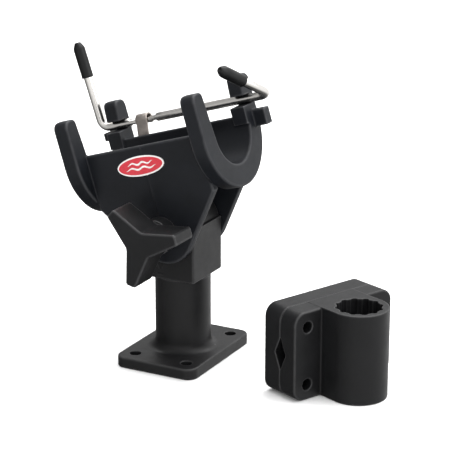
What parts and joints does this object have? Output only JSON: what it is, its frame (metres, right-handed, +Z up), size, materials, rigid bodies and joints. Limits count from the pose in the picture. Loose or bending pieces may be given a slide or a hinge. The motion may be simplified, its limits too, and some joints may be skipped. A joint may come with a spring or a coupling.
{
  "type": "rod holder",
  "caption": "Deck-mounted fishing rod holder: splined post, tilting U-shaped rod cradle with a wire retaining bail and a star knob, plus a rail clamp socket.",
  "frame": {"origin": "centre of the deck flange's underside, on the axis of the post", "axes": "+Z up along the post, +Y along the cradle's tilt hinge away from the star knob, +X towards the cradle's raised end"},
  "size_m": [0.2716, 0.1098, 0.2195],
  "materials": {
    "moulded_black": "satin",
    "knob_black": "satin",
    "badge_red": "gloss",
    "stainless_steel": "satin",
    "bright_wire": "polished",
    "cap_vinyl": "gloss",
    "clip_steel": "satin",
    "brass": "satin",
    "friction_rubber": "matt"
  },
  "bodies": {
    "deck_mount": {"deck_mount": "moulded_black"},
    "head": {"knuckle_post": "moulded_black"},
    "cradle": {"cradle": "moulded_black", "badge": "badge_red", "hinge_bolt": "stainless_steel", "friction_disc_near": "friction_rubber", "friction_disc_far": "friction_rubber", "knob_washer": "stainless_steel", "bail_clip": "clip_steel", "clip_screws": "clip_steel"},
    "knob": {"star_knob": "knob_black", "knob_insert": "brass"},
    "bail": {"bail_wire": "bright_wire", "bail_cap_rear": "cap_vinyl", "bail_cap_front": "cap_vinyl"},
    "rail_mount": {"rail_clamp_socket": "moulded_black"},
    "rail_jaw": {"rail_clamp_jaw": "moulded_black"}
  },
  "joints": [
    {"name": "head_lift", "type": "slide", "parent": "deck_mount", "child": "head", "axis": [0, 0, 1], "range_m": [0, 0.06]},
    {"name": "cradle_tilt", "type": "hinge", "parent": "head", "child": "cradle", "pos_m": [0, 0, 0.099], "axis": [0, -1, 0], "range_deg": [-77, 58]},
    {"name": "knob_turn", "type": "hinge", "parent": "cradle", "child": "knob", "pos_m": [0, 0, 0.099], "axis": [0, -1, 0], "continuous": true},
    {"name": "bail_swing", "type": "hinge", "parent": "cradle", "child": "bail", "pos_m": [-0.02134, 0.034, 0.16881], "axis": [0.9563, 0, 0.2924], "range_deg": [-88, 30]},
    {"name": "rail_mount_lift", "type": "slide", "parent": "deck_mount", "child": "rail_mount", "axis": [0, 0, 1], "range_m": [0, 0.08]},
    {"name": "rail_jaw_open", "type": "slide", "parent": "rail_mount", "child": "rail_jaw", "axis": [-0.9212, 0.3891, 0], "range_m": [0, 0.025]}
  ]
}
